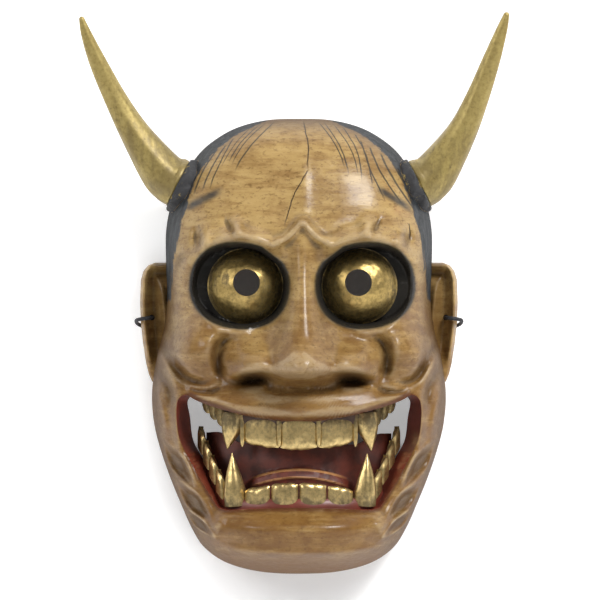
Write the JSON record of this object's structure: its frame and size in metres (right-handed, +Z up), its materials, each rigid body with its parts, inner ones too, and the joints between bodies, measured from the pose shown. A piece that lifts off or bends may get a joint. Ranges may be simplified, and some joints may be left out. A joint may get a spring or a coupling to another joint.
{
  "type": "noh mask",
  "caption": "Carved and lacquered wooden demon noh mask with pull-off horns, domed metal eyes, metal-faced teeth and fangs, and a hanging cord tied through the ears.",
  "frame": {"origin": "centre of the mask in the plane of its back rim", "axes": "+Z up to the crown, the face looks along -Y, +X to the viewer's right, so the wearer or wall is on the +Y side"},
  "size_m": [0.197, 0.083, 0.2583],
  "materials": {
    "lacquered_wood": "aged tan lacquer paint over carved cypress, semi-gloss, darkened in the hollows",
    "horn_gilding": "wooden horn under dull gold lacquer, semi-gloss",
    "gilt_copper": "gilt copper sheet with a dark patina",
    "tooth_metal": "gilt metal, worn bright on the crowns and dark at the gums",
    "cord": "black braided cord"
  },
  "bodies": {
    "mask": {"mask_shell": "lacquered_wood", "left_eye": "gilt_copper", "right_eye": "gilt_copper", "upper_tooth_plate": "tooth_metal", "lower_tooth_plate": "tooth_metal", "upper_left_fang": "tooth_metal", "upper_right_fang": "tooth_metal", "lower_left_fang": "tooth_metal", "lower_right_fang": "tooth_metal", "upper_left_side_teeth": "tooth_metal", "upper_right_side_teeth": "tooth_metal", "lower_left_side_teeth": "tooth_metal", "lower_right_side_teeth": "tooth_metal", "hanging_cord": "cord", "left_cord_knot": "cord", "right_cord_knot": "cord"},
    "left_horn": {"left_horn": "horn_gilding"},
    "right_horn": {"right_horn": "horn_gilding"}
  },
  "joints": [
    {"name": "left_horn_pull", "type": "slide", "parent": "mask", "child": "left_horn", "axis": [-0.891, 0, 0.454], "range_m": [0, 0.02]},
    {"name": "right_horn_pull", "type": "slide", "parent": "mask", "child": "right_horn", "axis": [0.891, 0, 0.454], "range_m": [0, 0.02]}
  ]
}
